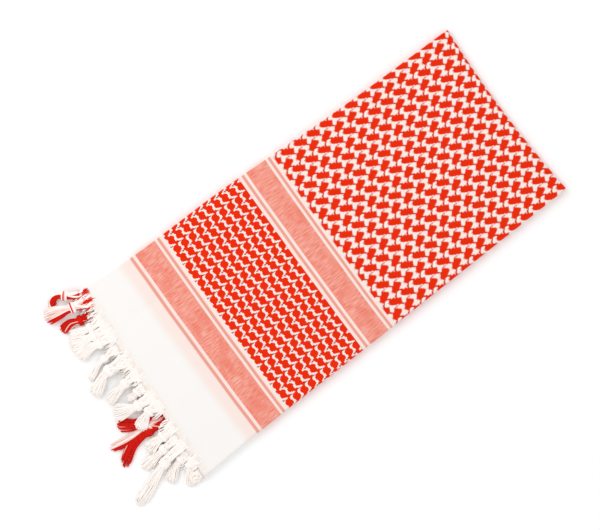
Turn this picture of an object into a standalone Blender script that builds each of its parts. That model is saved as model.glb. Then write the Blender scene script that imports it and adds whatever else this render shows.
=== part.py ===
"""A square woven headscarf, folded into an oblong pad and lying flat, with knotted tassels at one end.

The square is folded side to side in quarters and then end to end, so eight plies lie on each other:
  +X  runs along the pad, from the fringed ends to the last fold
  +Y  runs across it, towards the side where the selvedges lie (the open side)
  +Z  is up, and the pad lies on z = 0
The open side shows the plies one by one, and the other side shows two soft folds of four plies each.
"""

from collections import namedtuple
from math import cos, pi, radians, sin, sqrt

import bmesh
import bpy
from mathutils import Vector

MM = 0.001

# Driving sizes of the folded pad
LENGTH = 525 * MM  # from the fringed edge to the last fold, along the open side
PLIES = 8
STACK = 9.2 * MM  # all plies together
CLOTH = 1.0 * MM  # wall of one ply
GAP = 0.3 * MM  # between neighbouring pieces
HEM_SLANT = 15 * MM  # how much further out the fringed edge lies at the folded side
FOLD_DIP = 5 * MM  # how far the last fold draws in at the middle
PLY = STACK / PLIES
PAD = STACK / 2  # half the stack: the four plies of one end
OPEN_ROLL = 1.3 * MM  # outer ply's bend on the open side
FOLD_ROLL = PAD / 2  # outer ply's bend on the folded side
GROOVE = 0.4 * MM  # how deep the plies part at an edge

# Half widths of the pad along its length
Width = namedtuple("Width", "along open_side folded_side")
WIDTHS = (
    Width(0 * MM, 130 * MM, 131 * MM),
    Width(75 * MM, 125 * MM, 127 * MM),
    Width(200 * MM, 125 * MM, 124 * MM),
    Width(375 * MM, 118.5 * MM, 119 * MM),
    Width(525 * MM, 117 * MM, 114.5 * MM),
)

# Sections of a tassel, from its root in the cloth's edge to its tip
Section = namedtuple("Section", "along width thickness")
TASSEL_SECTIONS = (
    Section(0.00, 1.00, 1.0 * MM),
    Section(0.14, 0.70, 2.6 * MM),
    Section(0.30, 0.85, 3.6 * MM),
    Section(0.44, 0.65, 3.0 * MM),
    Section(0.74, 0.95, 3.2 * MM),
    Section(1.00, 1.10, 2.4 * MM),
)
TASSEL_SIDES = 8

# The tassels, from the open side to the folded side; the last rows lie under the others. ply counts
# from the floor, tip is the height of the tip's middle and root is the place across the fringed edge,
# like width in millimetres. bends are x and y in millimetres, with x measured from that edge's corner
# on the open side.
Tassel = namedtuple("Tassel", "name finish ply tip width root bends")
TASSELS = (
    Tassel("tassel_01", "striped", 8, 3.0, 7, 126, ((-12, 131), (-26, 142), (-36, 140), (-38, 132))),
    Tassel("tassel_02", "striped", 8, 5.2, 9, 115, ((-18, 119), (-34, 124), (-54, 129))),
    Tassel("tassel_03", "red", 2, 2.0, 8, 100, ((-20, 102), (-34, 106), (-47, 103))),
    Tassel("tassel_04", "cream", 8, 5.2, 8, 88.5, ((-16, 88), (-30, 91), (-42, 95))),
    Tassel("tassel_05", "cream", 8, 5.6, 9, 76, ((-18, 78), (-34, 81), (-50, 84))),
    Tassel("tassel_06", "cream", 8, 5.4, 9, 65, ((-18, 67), (-34, 70), (-50, 70))),
    Tassel("tassel_07", "cream", 7, 2.4, 6, 51, ((-18, 50), (-34, 48), (-44, 44), (-55, 39))),
    Tassel("tassel_08", "cream", 8, 5.4, 10, 34, ((-22, 35), (-38, 34), (-52, 27), (-62, 23))),
    Tassel("tassel_09", "cream", 8, 5.4, 8, 12, ((-22, 12), (-38, 9), (-53, 6))),
    Tassel("tassel_10", "cream", 7, 4.2, 8, -4, ((-18, -5), (-25, -6), (-33, -5))),
    Tassel("tassel_11", "cream", 8, 7.0, 9, -18, ((-25, -18), (-41, -14), (-56, -8))),
    Tassel("tassel_12", "cream", 8, 7.2, 9, -31, ((-20, -31), (-31, -35), (-43, -42))),
    Tassel("tassel_13", "red", 3, 1.9, 8, -51, ((-24, -52), (-42, -54), (-60, -57), (-84, -67))),
    Tassel("tassel_14", "red", 2, 2.0, 7, -34, ((-24, -35), (-44, -32), (-61, -20))),
    Tassel("tassel_15", "striped", 3, 2.2, 5, -43, ((-24, -43.5), (-44, -43), (-64, -42), (-85, -40))),
    Tassel("tassel_16", "cream", 8, 5.4, 9, -62, ((-24, -64), (-38, -65), (-50, -67))),
    Tassel("tassel_17", "cream", 7, 2.6, 8, -74, ((-26, -76), (-42, -78), (-54, -79), (-67, -81))),
    Tassel("tassel_18", "cream", 8, 3.2, 9, -85, ((-28, -87), (-45, -91), (-61, -97), (-79, -104), (-98, -110))),
    Tassel("tassel_19", "cream", 6, 2.4, 8, -96, ((-24, -98), (-38, -103), (-51, -113))),
    Tassel("tassel_20", "cream", 8, 3.2, 7, -108, ((-20, -110), (-26, -118), (-32, -131))),
    Tassel("tassel_21", "cream", 6, 2.6, 6, -123, ((-18, -124), (-21, -128), (-23, -132))),
    Tassel("tassel_22", "cream", 4, 1.7, 8, 71, ((-18, 72), (-33, 75), (-46, 78))),
    Tassel("tassel_23", "cream", 4, 1.7, 8, 31, ((-20, 33), (-36, 32), (-50, 26))),
    Tassel("tassel_24", "cream", 4, 1.7, 8, 11, ((-20, 11), (-34, 9), (-46, 7))),
    Tassel("tassel_25", "cream", 4, 1.7, 8, -64, ((-24, -64), (-36, -66), (-47, -68))),
    Tassel("tassel_26", "cream", 3, 1.7, 7, -85, ((-24, -86), (-32, -88), (-40, -90))),
    Tassel("tassel_27", "cream", 4, 1.7, 7, 115, ((-16, 118), (-28, 121), (-40, 125))),
    Tassel("tassel_28", "cream", 4, 1.7, 7, 88, ((-16, 87), (-28, 89), (-38, 91))),
)

COLOURS = {
    "cream": (0.91, 0.83, 0.76, 1.0),
    "red": (0.72, 0.016, 0.006, 1.0),
    "striped": (0.86, 0.42, 0.36, 1.0),
    "pattern": (0.84, 0.17, 0.11, 1.0),
    "plies": (0.90, 0.62, 0.57, 1.0),
}


def clear_scene():
    """Start from an empty file."""
    for item in list(bpy.data.objects):
        bpy.data.objects.remove(item, do_unlink=True)


def cotton(name):
    """Matt woven cotton in one of the named colours."""
    material = bpy.data.materials.new(name)
    material.use_nodes = True
    shader = material.node_tree.nodes["Principled BSDF"]
    shader.inputs["Base Color"].default_value = COLOURS[name]
    shader.inputs["Roughness"].default_value = 0.9
    shader.inputs["Metallic"].default_value = 0.0
    return material


def table_value(rows, column, along):
    """A column of a table, read between its rows with a smooth curve."""
    last = len(rows) - 1
    at = next((i for i in range(last) if along <= rows[i + 1].along), last - 1)
    low, high = rows[at], rows[at + 1]
    span = high.along - low.along
    share = min(1.0, max(0.0, (along - low.along) / span))

    def slope(i):
        before, after = rows[max(0, i - 1)], rows[min(last, i + 1)]
        return (getattr(after, column) - getattr(before, column)) / (after.along - before.along)

    start, end = getattr(low, column), getattr(high, column)
    square, cube = share**2, share**3
    return (
        start * (2 * cube - 3 * square + 1)
        + slope(at) * span * (cube - 2 * square + share)
        + end * (3 * square - 2 * cube)
        + slope(at + 1) * span * (cube - square)
    )


def open_side(x):
    """Where the pad ends across, on the open side."""
    return table_value(WIDTHS, "open_side", min(max(x, 0.0), LENGTH))


def folded_side(x):
    """Where the pad ends across, on the folded side."""
    return -table_value(WIDTHS, "folded_side", min(max(x, 0.0), LENGTH))


def hem_x(y):
    """The fringed edge, which slants outwards towards the folded side."""
    share = (open_side(0) - y) / (open_side(0) - folded_side(0))
    return -HEM_SLANT * share


def fold_x(y):
    """The crest of the last fold, drawn in at its middle."""
    return LENGTH - FOLD_DIP * (1 - (y / open_side(LENGTH)) ** 2)


def along_pad(share, y, reach):
    """x at a share of the way from the fringed edge to the point `reach` short of the last fold."""
    start = hem_x(y)
    return start + share * (fold_x(y) - reach - start)


def raised(cap, rows):
    """Extrude a flat cap upwards, one unit for each row, into a closed block of lattice points."""
    top = list(cap.faces) + list(cap.edges)
    for row in range(rows):
        top = bmesh.ops.extrude_face_region(cap, geom=top, use_keep_orig=row == 0)["geom"]
        points = [item for item in top if isinstance(item, bmesh.types.BMVert)]
        bmesh.ops.translate(cap, vec=(0, 0, 1), verts=points)


def solid(name, block, finish, collection):
    """Turn a shaped block into a named object with its own material."""
    bmesh.ops.recalc_face_normals(block, faces=block.faces)
    if block.calc_volume(signed=True) < 0:
        bmesh.ops.reverse_faces(block, faces=block.faces)
    mesh = bpy.data.meshes.new(name)
    block.to_mesh(mesh)
    block.free()
    mesh.materials.append(cotton(finish))
    mesh.shade_smooth()
    mesh.set_sharp_from_angle(angle=radians(50))
    item = bpy.data.objects.new(name, mesh)
    collection.objects.link(item)
    return item


def lattice(columns, lines, rows):
    """A closed block whose points hold their own counts: columns along, lines across, rows up."""
    block = bmesh.new()
    bmesh.ops.create_grid(block, x_segments=columns, y_segments=lines, size=0.5)
    for point in block.verts:
        point.co.x = round((point.co.x + 0.5) * columns)
        point.co.y = round((point.co.y + 0.5) * lines)
    raised(block, rows)
    return block


# The outer ply across the pad, from its bend on the open side to the end of its bend on the folded side
Turn = namedtuple("Turn", "side angle share")
OUTER_TURNS = (
    [Turn("open", angle, 0.0) for angle in (0, 30, 60)]
    + [Turn("flat", 90, step / 10) for step in range(11)]
    + [Turn("folded", angle, 1.0) for angle in (120, 150, 180, 210, 230, 249)]
)


def outer_section(turn, depth, x):
    """A point of the outer ply in the section at x: its place across and how far down it lies.

    depth is 0 on the ply's outside and CLOTH on its inside.
    """
    roll = OPEN_ROLL if turn.side == "open" else FOLD_ROLL
    near, far = open_side(x) - OPEN_ROLL, folded_side(x) + FOLD_ROLL
    centre = near + (far - near) * turn.share
    if turn.side == "flat":
        return centre, depth
    angle = radians(turn.angle)
    return centre + (roll - depth) * cos(angle), roll - (roll - depth) * sin(angle)


FLAT_COLUMNS = 20
FOLD_COLUMNS = 5


def outer_ply(name, side, collection):
    """One stretch of the outer ply: over the pad (side +1) or under it (side -1), up to the fold's crest."""
    block = lattice(FLAT_COLUMNS + FOLD_COLUMNS, len(OUTER_TURNS) - 1, 1)
    for point in block.verts:
        column, line, inside = (round(value) for value in point.co)
        turn = OUTER_TURNS[line]
        share = min(column / FLAT_COLUMNS, 1.0)
        x = share * (LENGTH - PAD)
        y, down = outer_section(turn, CLOTH * inside, x)
        x = along_pad(share, y, PAD)
        angle = pi / 2 * max(0, column - FLAT_COLUMNS) / FOLD_COLUMNS
        above_crest = GAP / 2 + (PAD - GAP / 2 - down) * cos(angle)
        point.co = (x + (PAD - down) * sin(angle), y, PAD + side * above_crest)
    return solid(name, block, "pattern", collection)


# The hidden plies: one solid, whose edges part ply by ply. Rows run upwards.
Row = namedtuple("Row", "height open_inset folded_inset hem_inset fold_inset")


def inner_rows():
    """A row at the middle of each hidden ply and one at each parting between two plies."""
    bottom, top = CLOTH + GAP, STACK - CLOTH - GAP
    fold_radius = PAD - FOLD_ROLL
    side_radius = FOLD_ROLL - CLOTH - GAP
    rows = []
    for step in range(2, 2 * PLIES - 1):
        height = min(top, max(bottom, step * PLY / 2))
        parting = GROOVE if step % 2 == 0 else 0.0
        from_middle = abs(height - PAD)
        behind_roll = CLOTH + GAP if from_middle > PAD - OPEN_ROLL - PLY / 2 else 0.0
        lobe = min(side_radius, abs(from_middle - FOLD_ROLL))
        bulge = side_radius - sqrt(side_radius**2 - lobe**2)
        turn = fold_radius - sqrt(max(0.0, fold_radius**2 - from_middle**2))
        rows.append(Row(height, parting + behind_roll, CLOTH + GAP + bulge, parting, PAD - fold_radius + turn))
    return rows


def hidden_plies(name, collection):
    """The plies inside the outer one, as one rounded solid that is layered at its edges."""
    rows = inner_rows()
    columns, lines = 22, 12
    block = lattice(columns, lines, len(rows) - 1)
    for point in block.verts:
        column, line, step = (round(value) for value in point.co)
        row = rows[step]
        share = column / columns
        guess = share * LENGTH
        near = open_side(guess) - row.open_inset
        far = folded_side(guess) + row.folded_inset
        y = near + (far - near) * line / lines
        start, end = hem_x(y) + row.hem_inset, fold_x(y) - row.fold_inset
        point.co = (start + share * (end - start), y, row.height)
    return solid(name, block, "plies", collection)


def smooth_route(stops, share):
    """A point on the smooth curve through the stops, at a share of the way from first to last."""
    last = len(stops) - 1
    at = min(int(share * last), last - 1)
    local = share * last - at
    before, start = stops[max(0, at - 1)], stops[at]
    end, after = stops[at + 1], stops[min(last, at + 2)]
    return 0.5 * (
        2 * start
        + (end - before) * local
        + (2 * before - 5 * start + 4 * end - after) * local**2
        + (3 * start - before - 3 * end + after) * local**3
    )


def tassel_stops(row):
    """The tassel's middle line: out of its ply's edge, then down to where its tip lies."""
    root_height = (row.ply - 0.5) * PLY
    tip_height = row.tip * MM
    root = Vector((hem_x(row.root * MM) - GAP, row.root * MM, root_height))
    stops = [root]
    for step, (x, y) in enumerate(row.bends, start=1):
        share = step / len(row.bends)
        fall = share * (2 - share)
        stops.append(Vector((x * MM, y * MM, root_height + (tip_height - root_height) * fall)))
    return stops


def tassel(row, collection):
    """A plain flattened tube over the tassel's gathered root, its knot and its brush of loose ends."""
    stops = tassel_stops(row)
    block = bmesh.new()
    bmesh.ops.create_circle(block, cap_ends=True, segments=TASSEL_SIDES, radius=1.0)
    raised(block, len(TASSEL_SECTIONS) - 1)
    for point in block.verts:
        section = TASSEL_SECTIONS[round(point.co.z)]
        middle = smooth_route(stops, section.along)
        ahead = smooth_route(stops, min(1.0, section.along + 0.02))
        behind = smooth_route(stops, max(0.0, section.along - 0.02))
        heading = ahead - behind
        sideways = Vector((-heading.y, heading.x, 0)).normalized()
        if section.along == 0:
            sideways = Vector((HEM_SLANT, open_side(0) - folded_side(0), 0)).normalized() * -1
        half_width = section.width * row.width * MM / 2
        offset = sideways * point.co.x * half_width
        offset.z = point.co.y * section.thickness / 2
        point.co = middle + offset
    return solid(row.name, block, row.finish, collection)


def centre_on_floor(items):
    """Move the whole scarf so that the middle of its box stands over the origin."""
    points = [point.co for item in items for point in item.data.vertices]
    low = [min(point[axis] for point in points) for axis in range(3)]
    high = [max(point[axis] for point in points) for axis in range(3)]
    shift = Vector((-(low[0] + high[0]) / 2, -(low[1] + high[1]) / 2, -low[2]))
    for item in items:
        for point in item.data.vertices:
            point.co += shift


def build():
    """Make every piece of the scarf."""
    clear_scene()
    scarf = bpy.data.collections.new("folded_headscarf")
    bpy.context.scene.collection.children.link(scarf)
    pieces = [
        outer_ply("outer_ply_top", 1, scarf),
        outer_ply("outer_ply_under", -1, scarf),
        hidden_plies("hidden_plies", scarf),
    ]
    pieces += [tassel(row, scarf) for row in TASSELS]
    centre_on_floor(pieces)


build()
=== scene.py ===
"""A red and white woven headscarf, folded into an oblong pad, with knotted tassels at its fringed end.

The pad lies flat on a pale floor. The cloth is one continuous shell over the pad, round its last fold
and back underneath, and the plies between show at its edges. Lengths in tables are millimetres in the
hem's own frame: x from the fringed edge's corner on the open side, y from the pad's centre line and z
from the floor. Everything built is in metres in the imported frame.
"""

import logging
import random
from collections.abc import Callable, Iterable, Sequence
from dataclasses import dataclass, field
from enum import Enum
from functools import cached_property
from math import cos, exp, pi, radians, sin, sqrt

import bmesh
import bpy
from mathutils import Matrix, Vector, noise


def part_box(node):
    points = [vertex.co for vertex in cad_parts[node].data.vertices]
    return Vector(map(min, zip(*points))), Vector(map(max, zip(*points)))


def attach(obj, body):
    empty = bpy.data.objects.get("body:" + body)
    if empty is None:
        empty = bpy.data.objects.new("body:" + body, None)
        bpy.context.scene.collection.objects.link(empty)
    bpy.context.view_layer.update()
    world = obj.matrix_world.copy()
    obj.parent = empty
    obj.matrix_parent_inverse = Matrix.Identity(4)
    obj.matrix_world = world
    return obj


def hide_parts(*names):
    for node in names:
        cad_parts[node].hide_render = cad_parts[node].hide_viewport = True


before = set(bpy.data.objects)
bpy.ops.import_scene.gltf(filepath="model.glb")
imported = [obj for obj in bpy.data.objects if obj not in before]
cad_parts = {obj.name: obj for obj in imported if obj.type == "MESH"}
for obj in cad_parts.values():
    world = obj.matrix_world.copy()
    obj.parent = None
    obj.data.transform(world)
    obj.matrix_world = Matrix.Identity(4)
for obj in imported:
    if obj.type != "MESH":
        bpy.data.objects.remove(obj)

LOG = logging.getLogger("headscarf")
MM = 0.001
CLOTH_MAP = "Cloth"
DYE = "dye"
GOLDEN_ANGLE = pi * (3 - sqrt(5))
STUDIO_SHARE = 0.92  # cloth colour over display colour, as the studio lights a level face above white

Colour = tuple[float, float, float]
Material = bpy.types.Material
Mesh = bmesh.types.BMesh
Piece = bpy.types.Object
Socket = bpy.types.NodeSocket
Tree = bpy.types.NodeTree
Value = float | Colour | Socket


# ---- small helpers


def linear(red: int, green: int, blue: int) -> Colour:
    """Turn a display colour of 0 to 255 a channel into linear light.

    Args:
        red: Red, 0 to 255.
        green: Green, 0 to 255.
        blue: Blue, 0 to 255.

    Returns:
        The linear colour, 0 to 1 a channel.
    """
    channels = (value / 255 for value in (red, green, blue))
    return tuple(c / 12.92 if c <= 0.04045 else ((c + 0.055) / 1.055) ** 2.4 for c in channels)


def cloth_tone(red: int, green: int, blue: int) -> Colour:
    """Return a cloth's own colour from how it looks under the studio's light, 0 to 255 a channel."""
    return tuple(STUDIO_SHARE * channel for channel in linear(red, green, blue))


def eased(share: float) -> float:
    """Return a share held to 0 to 1 and eased at both ends."""
    share = min(1.0, max(0.0, share))
    return share * share * (3 - 2 * share)


def uneven(first: float, second: float, third: float) -> float:
    """Return smooth noise of about -1 to 1 over three measures, each in the noise's own scale."""
    return noise.noise(Vector((first, second, third)))


def table_value(rows: Sequence, column: str, along: float) -> float:
    """Read a column of a table between its rows with a smooth curve.

    Args:
        rows: Rows with an `along` field that rises.
        column: The field to read.
        along: Where to read it.

    Returns:
        The value there; past the ends it keeps the end row's value.
    """
    last = len(rows) - 1
    at = next((i for i in range(last) if along <= rows[i + 1].along), last - 1)
    low, high = rows[at], rows[at + 1]
    span = high.along - low.along
    share = min(1.0, max(0.0, (along - low.along) / span))

    def slope(i: int) -> float:
        """Return the slope of the curve at a row."""
        before, after = rows[max(0, i - 1)], rows[min(last, i + 1)]
        return (getattr(after, column) - getattr(before, column)) / (after.along - before.along)

    square, cube = share**2, share**3
    return (
        getattr(low, column) * (2 * cube - 3 * square + 1)
        + slope(at) * span * (cube - 2 * square + share)
        + getattr(high, column) * (3 * square - 2 * cube)
        + slope(at + 1) * span * (cube - square)
    )


def smooth_route(stops: Sequence[Vector], share: float) -> Vector:
    """Return a point on the smooth curve through some stops.

    Args:
        stops: The points that the curve passes through.
        share: How far along, from 0 at the first stop to 1 at the last.

    Returns:
        The point on the curve.
    """
    last = len(stops) - 1
    at = min(max(int(share * last), 0), last - 1)
    local = share * last - at
    before, start = stops[max(0, at - 1)], stops[at]
    end, after = stops[at + 1], stops[min(last, at + 2)]
    return 0.5 * (
        2 * start
        + (end - before) * local
        + (2 * before - 5 * start + 4 * end - after) * local**2
        + (3 * start - before - 3 * end + after) * local**3
    )


def finished(name: str, block: Mesh, material: Material) -> Piece:
    """Turn a shaped block into an object at the origin.

    Args:
        name: The piece's name.
        block: Its shape, which is freed.
        material: Its finish.

    Returns:
        The linked object, shaded smooth.
    """
    mesh = bpy.data.meshes.new(name)
    block.to_mesh(mesh)
    block.free()
    mesh.materials.append(material)
    mesh.shade_smooth()
    piece = bpy.data.objects.new(name, mesh)
    bpy.context.scene.collection.objects.link(piece)
    return piece


# ---- shape of the folded pad


@dataclass(frozen=True)
class Width:
    """Half widths of the pad at one place along it, in millimetres."""

    along: float
    open_side: float
    folded_side: float


@dataclass(frozen=True)
class Grain:
    """How the weave lies at one place along the pad, in millimetres and pattern rows.

    shear and bow turn and curve the stripes, rows is the number of pattern rows across the pad, and
    spread opens the rows towards the open side.
    """

    along: float
    shear: float
    bow: float
    rows: float
    spread: float


WIDTHS = (
    Width(0, 130, 131),
    Width(75, 125, 127),
    Width(200, 125, 124),
    Width(375, 118.5, 119),
    Width(525, 117, 114.5),
)
GRAINS = (
    Grain(0, 0.011, 0.8, 10.08, 0.14),
    Grain(110, 0.013, 1.1, 10.18, 0.14),
    Grain(162.5, 0.012, 1.4, 10.234, 0.14),
    Grain(222, 0.013, 1.3, 10.29, 0.16),
    Grain(272, 0.0155, 1.5, 10.182, 0.33),
    Grain(393.5, 0.0237, 2.46, 10.213, 0.33),
    Grain(525, 0.031, 4.0, 10.246, 0.33),
)
HEM_START = WIDTHS[0].open_side  # y of the fringed edge's end on the open side
HEM_LENGTH = HEM_START + WIDTHS[0].folded_side
HEM_SLANT = 15.0  # how far back the fringed edge's other end lies, mm
ROW = 24.4  # width of one row of the pattern on the cloth, mm
ROW_RISE = 0.0322 / 24  # rows by which the pattern climbs towards the open side, for each mm along


@dataclass(frozen=True)
class PadShape:
    """The outline of the folded scarf and where the weave lies on it. Lengths are millimetres."""

    length: float = 525.0
    stack: float = 9.2
    plies: int = 8
    cloth: float = 1.0
    gap: float = 0.3
    fold_dip: float = 5.0
    open_roll: float = 1.3
    crest: float = 525.9  # where the weave's own measure reaches the middle of the last fold
    weave_wander: float = 0.35

    @property
    def half(self) -> float:
        """Return half the stack, which is one end's plies."""
        return self.stack / 2

    @property
    def fold_roll(self) -> float:
        """Return the radius of the outer ply's bend on the folded side."""
        return self.stack / 4

    @property
    def ply(self) -> float:
        """Return the height that one ply takes up."""
        return self.stack / self.plies

    def open_side(self, x: float) -> float:
        """Return y where the pad ends on the open side."""
        return table_value(WIDTHS, "open_side", x)

    def folded_side(self, x: float) -> float:
        """Return y where the pad ends on the folded side."""
        return -table_value(WIDTHS, "folded_side", x)

    def hem(self, y: float) -> float:
        """Return x of the fringed edge."""
        return -HEM_SLANT * ((HEM_START - y) / HEM_LENGTH)

    def fold(self, y: float) -> float:
        """Return x of the last fold's crest."""
        return self.length - self.fold_dip * (1 - (y / self.open_side(self.length)) ** 2)

    def along(self, share: float, y: float, reach: float) -> float:
        """Return x at a share of the way from the fringed edge to `reach` short of the last fold."""
        start = self.hem(y)
        return start + share * (self.fold(y) - reach - start)

    @cached_property
    def origin(self) -> Vector:
        """Work out where the hem frame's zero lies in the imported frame.

        Returns:
            The place, in metres.
        """
        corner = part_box("outer_ply_top")[1]
        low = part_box("outer_ply_under")[0].z
        return Vector((corner.x - self.length * MM, corner.y - HEM_START * MM, low))

    def place(self, x: float, y: float, z: float) -> Vector:
        """Return a point of the hem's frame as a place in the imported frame, in metres."""
        return self.origin + Vector((x, y, z)) * MM

    def weave(self, x: float, y: float) -> tuple[float, float]:
        """Return the weave's own measures at a point of the pad.

        Args:
            x: Place along the pad.
            y: Place across it.

        Returns:
            How far along the cloth from its fringed edge and how far across it, in millimetres.
        """
        at = min(max(x, 0.0), self.length)
        near, far = self.open_side(at), self.folded_side(at)
        share = (y - (near + far) / 2) / (near - far)
        shear, bow = table_value(GRAINS, "shear", at), table_value(GRAINS, "bow", at)
        rows, spread = table_value(GRAINS, "rows", at), table_value(GRAINS, "spread", at)
        wander = self.weave_wander * uneven(x / 70, y / 45, 3.7)
        drift = 0.6 * self.weave_wander * uneven(x / 60, y / 60, 9.1)
        along = x - shear * y - bow * (y / 120) ** 2 + wander
        across = ROW * (rows * share - ROW_RISE * x + spread * share**2) + drift
        return along, across


class Side(Enum):
    """Which face of the pad a crease lies on."""

    TOP = 1
    UNDER = -1


@dataclass(frozen=True)
class Crease:
    """A soft trough (depth below zero) or ridge between two points of the pad, in millimetres.

    sway is how far it wanders as a share of its width, waves how often, and fade the share of its
    length over which each end dies away.
    """

    side: Side
    start: tuple[float, float]
    end: tuple[float, float]
    width: float
    depth: float
    sway: float = 0.25
    waves: float = 2.2
    fade: float = 0.25

    def height(self, x: float, y: float) -> float:
        """Work out how much the crease lifts the cloth at a point.

        Args:
            x: Place along the pad.
            y: Place across it.

        Returns:
            The lift, in millimetres, below zero in a trough.
        """
        run_x, run_y = self.end[0] - self.start[0], self.end[1] - self.start[1]
        length = sqrt(run_x**2 + run_y**2)
        along = ((x - self.start[0]) * run_x + (y - self.start[1]) * run_y) / length
        off = ((x - self.start[0]) * run_y - (y - self.start[1]) * run_x) / length
        off += self.sway * self.width * sin(along / length * self.waves * pi)
        ends = eased(along / (self.fade * length)) * eased((length - along) / (self.fade * length))
        return self.depth * ends * exp(-((off / self.width) ** 2))


CREASES = (
    Crease(Side.TOP, (4, 66), (178, 63), 5, -0.55),
    Crease(Side.TOP, (20, 3), (92, -4), 6, -0.40),
    Crease(Side.TOP, (6, -48), (64, -30), 9, 0.45),
    Crease(Side.TOP, (-8, -100), (70, -112), 8, -0.45),
    Crease(Side.TOP, (10, 104), (58, 90), 10, 0.40),
    Crease(Side.TOP, (150, -62), (330, -58), 7, -0.35),
    Crease(Side.TOP, (228, 30), (420, 22), 9, 0.35),
    Crease(Side.TOP, (300, 88), (498, 80), 8, -0.35),
    Crease(Side.TOP, (395, -84), (508, -60), 7, 0.35),
    Crease(Side.TOP, (470, 40), (514, -30), 9, -0.45),
    Crease(Side.UNDER, (10, 60), (190, 66), 6, -0.50),
    Crease(Side.UNDER, (30, -20), (150, -34), 8, -0.40),
    Crease(Side.UNDER, (200, 8), (380, -2), 7, -0.45),
    Crease(Side.UNDER, (310, -70), (500, -84), 9, -0.35),
    Crease(Side.UNDER, (420, 62), (510, 20), 8, -0.50),
)


SOFT_LIFT = 0.22  # height of the cloth's broad unevenness, mm
RIPPLE_LIFT = 0.07  # height of its small ripples, mm
PRESSED = 0.08  # how much flatter the floor presses the underside, mm


def relief(side: Side, x: float, y: float) -> float:
    """Return how far creases and softness move one face outwards.

    Args:
        side: The face, top or underside.
        x: Place along the pad.
        y: Place across it.

    Returns:
        The lift, in millimetres.
    """
    lift = sum(crease.height(x, y) for crease in CREASES if crease.side is side)
    soft = uneven(x / 38, y / 30, side.value * 4.0)
    ripple = uneven(x / 13, y / 11, side.value * 7.0)
    lift += SOFT_LIFT * soft + RIPPLE_LIFT * ripple
    return lift if side is Side.TOP else min(0.0, lift - PRESSED)


# ---- node wiring


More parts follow.
